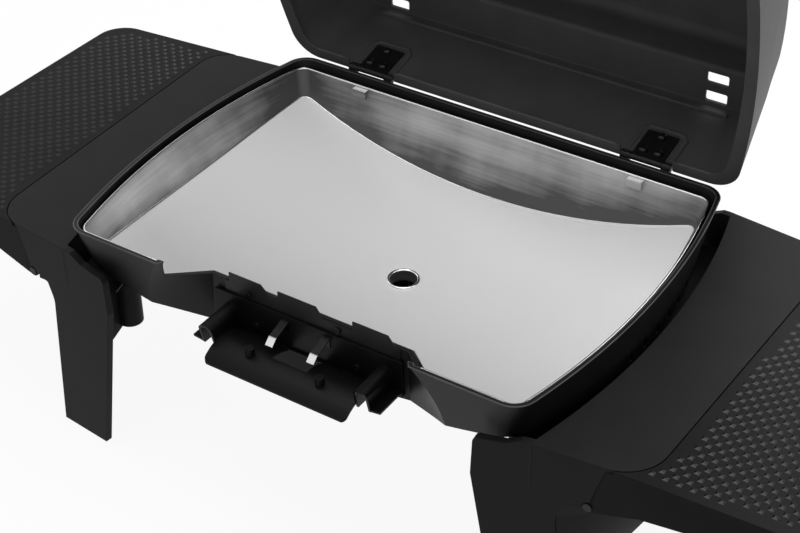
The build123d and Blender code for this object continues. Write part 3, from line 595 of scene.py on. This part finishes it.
def stud_field(name, side, body):
    field = bmesh.new()
    eighth_turn = Matrix.Rotation(radians(45.0), 4, "Z")
    for x, y in stud_places():
        spot = Vector((side * x, y - depth_middle, table_top + stud_height / 2 - stud_sink))
        bmesh.ops.create_cone(
            field,
            cap_ends=True,
            segments=4,
            radius1=stud_radius,
            radius2=stud_tip,
            depth=stud_height,
            matrix=Matrix.Translation(spot) @ eighth_turn,
        )
    mesh = bpy.data.meshes.new(name)
    field.to_mesh(mesh)
    field.free()
    mesh.materials.append(stud_plastic)
    piece = bpy.data.objects.new(name, mesh)
    scene.collection.objects.link(piece)
    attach(piece, body)


stud_field("right_table_studs", 1, "right_table")
stud_field("left_table_studs", -1, "left_table")
print("studs on each table:", len(stud_places()))

# %% [markdown]
# The pan's floor meets its walls in a pressed bead, and its top edge is rolled over. Both follow lines that
# the CAD mesh already has: the bead runs along the hollow crease round the floor, the roll along the top
# edge that faces inwards. The crease is read from a merged copy of the pan's mesh, joined into one line,
# and a round curve along that line becomes the bead.

# %% Bead and rolled edge of the pan
bead_radius = 0.0016
roll_radius = 0.0016
crease_angle = 0.15
floor_up = 0.8
wall_up = -0.2
top_up = 0.9
top_wall_up = 0.7
same_point = 0.000002
short_line = 0.05
drain_back = 0.250
pan_middle = Vector((0.0, drain_back - depth_middle, 0.0))


def still_left(vert, left):
    return [edge for edge in vert.link_edges if edge in left]


def walked_lines(edges):
    left = set(edges)
    lines = []
    while left:
        ends = [edge for edge in left if any(len(still_left(v, left)) == 1 for v in edge.verts)]
        edge = min(ends or left, key=lambda e: e.index)
        left.remove(edge)
        first, last = edge.verts
        if still_left(first, left) and not still_left(last, left):
            first, last = last, first
        line = [first, last]
        onward = still_left(last, left)
        while onward:
            left.remove(onward[0])
            line.append(onward[0].other_vert(line[-1]))
            onward = still_left(line[-1], left)
        lines.append([v.co.copy() for v in line])
    return lines


def line_length(line):
    return sum((b - a).length for a, b in zip(line, line[1:]))


def is_crease(edge):
    if len(edge.link_faces) != 2 or edge.is_convex or edge.calc_face_angle(0.0) < crease_angle:
        return False
    ups = sorted(face.normal.z for face in edge.link_faces)
    return ups[1] > floor_up and ups[0] > wall_up


def is_top_edge(edge):
    if len(edge.link_faces) != 2 or min(v.co.z for v in edge.verts) < pan_wall_top:
        return False
    flat, wall = sorted(edge.link_faces, key=lambda face: -face.normal.z)
    inward = pan_middle - edge.verts[0].co
    inward.z = 0.0
    return flat.normal.z > top_up and wall.normal.z < top_wall_up and wall.normal.dot(inward) > 0.0


def round_bar(name, lines, radius, finish, body):
    curve = bpy.data.curves.new(name, "CURVE")
    curve.dimensions = "3D"
    curve.bevel_depth = radius
    curve.bevel_resolution = 2
    curve.use_fill_caps = True
    for line in lines:
        spline = curve.splines.new("POLY")
        spline.points.add(len(line) - 1)
        for point, place in zip(spline.points, line):
            point.co = (place.x, place.y, place.z, 1.0)
    guide = bpy.data.objects.new(name + "_guide", curve)
    mesh = bpy.data.meshes.new_from_object(guide)
    bpy.data.objects.remove(guide)
    mesh.name = name
    mesh.materials.clear()
    mesh.materials.append(finish)
    for face in mesh.polygons:
        face.use_smooth = True
    piece = bpy.data.objects.new(name, mesh)
    scene.collection.objects.link(piece)
    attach(piece, body)


def lines_of(node, picks, shortest):
    copy = bmesh.new()
    copy.from_mesh(node.data)
    bmesh.ops.remove_doubles(copy, verts=copy.verts, dist=same_point)
    copy.normal_update()
    lines = walked_lines([edge for edge in copy.edges if picks(edge)])
    copy.free()
    return [line for line in lines if line_length(line) > shortest]


creases = lines_of(nodes["liner"], is_crease, short_line)
rolls = lines_of(nodes["liner"], is_top_edge, short_line)
round_bar("liner_bead", creases, bead_radius, bright_steel, "base")
round_bar("liner_roll", rolls, roll_radius, bright_steel, "base")
print("bead lines:", [round(line_length(line), 3) for line in creases])
print("roll lines:", [round(line_length(line), 3) for line in rolls])

# %% [markdown]
# On the box a fine grey line runs round the rim: a painted highlight, where the rim's edges catch the
# light.
# The line is a slim bar let into the rim's two top edges, so that hardly anything of it stands proud.

# %% Painted highlight on the rim of the box
highlight_line_radius = 0.0009
highlight_line_sink = Vector((0.0, 0.0, 0.0007))
rim_depth = 0.0006
rim_side_up = 0.6
short_rim_line = 0.03


def is_rim_edge(edge):
    if len(edge.link_faces) != 2 or min(v.co.z for v in edge.verts) < rim_height - rim_depth:
        return False
    ups = sorted(face.normal.z for face in edge.link_faces)
    return ups[1] > top_up and ups[0] < rim_side_up


rim_lines = lines_of(nodes["cook_box"], is_rim_edge, short_rim_line)
rim_lines = [[place - highlight_line_sink for place in line] for line in rim_lines]
round_bar("box_rim_highlight", rim_lines, highlight_line_radius, painted_edge_highlight, "base")
print("rim lines:", [round(line_length(line), 3) for line in rim_lines])

# %% [markdown]
# Inside the lid, the edge of the flange is rounded, and each hinge leaf sits in a raised frame. Both are
# easier to place on the closed lid, where the wall stands upright: one turn about the hinge then lays them
# on the open lid.

# %% Rounded flange and hinge bosses in the lid
hinge_place = Vector((0.0, 0.486, 0.0019))
lid_opening = radians(77.2)
lid_turn = Matrix.Rotation(-lid_opening, 4, "X")
to_part = Matrix.Translation(Vector((0.0, -depth_middle, rim_height)))
onto_open_lid = to_part @ Matrix.Translation(hinge_place) @ lid_turn @ Matrix.Translation(-hinge_place)
flange_edge_back = 0.4749
flange_edge_up = 0.0025
flange_edge_radius = 0.0015
boss_back = 0.4871
boss_bar_radius = 0.0038
boss_steps = (
    (0.172, 0.009), (0.172, 0.050), (0.180, 0.060), (0.224, 0.060), (0.232, 0.050), (0.232, 0.009)
)
lip_spans = ((-0.286, -0.244), (-0.160, 0.160), (0.244, 0.286))
lip_lines = []
for start, stop in lip_spans:
    ends = (Vector((x, flange_edge_back, flange_edge_up)) for x in (start, stop))
    lip_lines.append([onto_open_lid @ place for place in ends])
# The flange lip takes the same coat as the rim's painted highlight.
round_bar("lid_flange_lip", lip_lines, flange_edge_radius, painted_edge_highlight, "lid")
boss_lines = []
for side in (1, -1):
    boss_lines.append([onto_open_lid @ Vector((side * x, boss_back, up)) for x, up in boss_steps])
round_bar("lid_hinge_bosses", boss_lines, boss_bar_radius, lid_coat, "lid")
print("lip lines:", len(lip_lines), "boss lines:", len(boss_lines))

# %% [markdown]
# The drain hole has a drawn lip that stands a little above the floor. A small ring of points, spun once
# round the hole's axis, makes it.

# %% Lip of the drain hole
lip_radius = 0.0188
lip_round = 0.0020
lip_up = 0.2128
lip_points = 10
lip_turns = 48
full_turn = radians(360.0)
nearly_full = radians(359.0)
spin_merge = 0.000001


def spun_piece(name, profile, centre, turn_from, turn, steps, finish, body):
    shape = bmesh.new()
    ring = [shape.verts.new(place) for place in profile]
    loop = [shape.edges.new((ring[k - 1], ring[k])) for k in range(len(ring))]
    start = Matrix.Translation(centre) @ Matrix.Rotation(turn_from, 4, "Z") @ Matrix.Translation(-centre)
    bmesh.ops.transform(shape, matrix=start, verts=ring)
    whole = abs(turn) > nearly_full
    bmesh.ops.spin(
        shape,
        geom=ring + loop,
        cent=centre,
        axis=(0.0, 0.0, 1.0),
        angle=turn,
        steps=steps,
        use_merge=whole,
    )
    if not whole:
        bmesh.ops.holes_fill(shape, edges=[e for e in shape.edges if e.is_boundary], sides=0)
    bmesh.ops.remove_doubles(shape, verts=shape.verts, dist=spin_merge)
    bmesh.ops.recalc_face_normals(shape, faces=shape.faces)
    mesh = bpy.data.meshes.new(name)
    shape.to_mesh(mesh)
    shape.free()
    mesh.materials.append(finish)
    piece = bpy.data.objects.new(name, mesh)
    scene.collection.objects.link(piece)
    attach(piece, body)
    return piece


drain = Vector((0.0, drain_back - depth_middle, lip_up))
lip = []
for step in range(lip_points):
    angle = full_turn * step / lip_points
    lip.append(drain + Vector((lip_radius + lip_round * cos(angle), 0.0, lip_round * sin(angle))))
collar = spun_piece("drain_lip", lip, drain, 0.0, full_turn, lip_turns, bright_steel, "base")
for face in collar.data.polygons:
    face.use_smooth = True
print("faces of the drain's lip:", len(collar.data.polygons))

# %% [markdown]
# Under each platform a thin flange follows the hollow edge beside the box and turns in below it, so that no
# light falls through the gap between box and frame. Its section is an angle, spun about the centre of the
# edge's long arc.

# %% Flanges beside the box
arc_end = 0.3156
arc_hollow = 0.3485
arc_half = 0.24665
arc_middle = 0.24715
arc_rise = arc_hollow - arc_end
arc_radius = (arc_half**2 + arc_rise**2) / (2 * arc_rise)
flange_wall = 0.003
flange_reach = 0.060
flange_low = rim_height - 0.092
flange_top = rim_height - 0.0417
flange_steps = 24
flange_half_turn = radians(14.9)
for side, word in ((1, "right"), (-1, "left")):
    pivot = Vector((side * (arc_hollow - arc_radius), arc_middle - depth_middle, 0.0))
    section = []
    for outward, up in (
        (0.0, flange_top),
        (flange_wall, flange_top),
        (flange_wall, flange_low),
        (-flange_reach, flange_low),
        (-flange_reach, flange_low + flange_wall),
        (0.0, flange_low + flange_wall),
    ):
        section.append(Vector((side * (arc_hollow + outward), pivot.y, up)))
    spun_piece(
        word + "_frame_flange",
        section,
        pivot,
        -flange_half_turn,
        2 * flange_half_turn,
        flange_steps,
        frame_plastic,
        "base",
    )
print("arc radius of the frames' hollow edge:", round(arc_radius, 4))
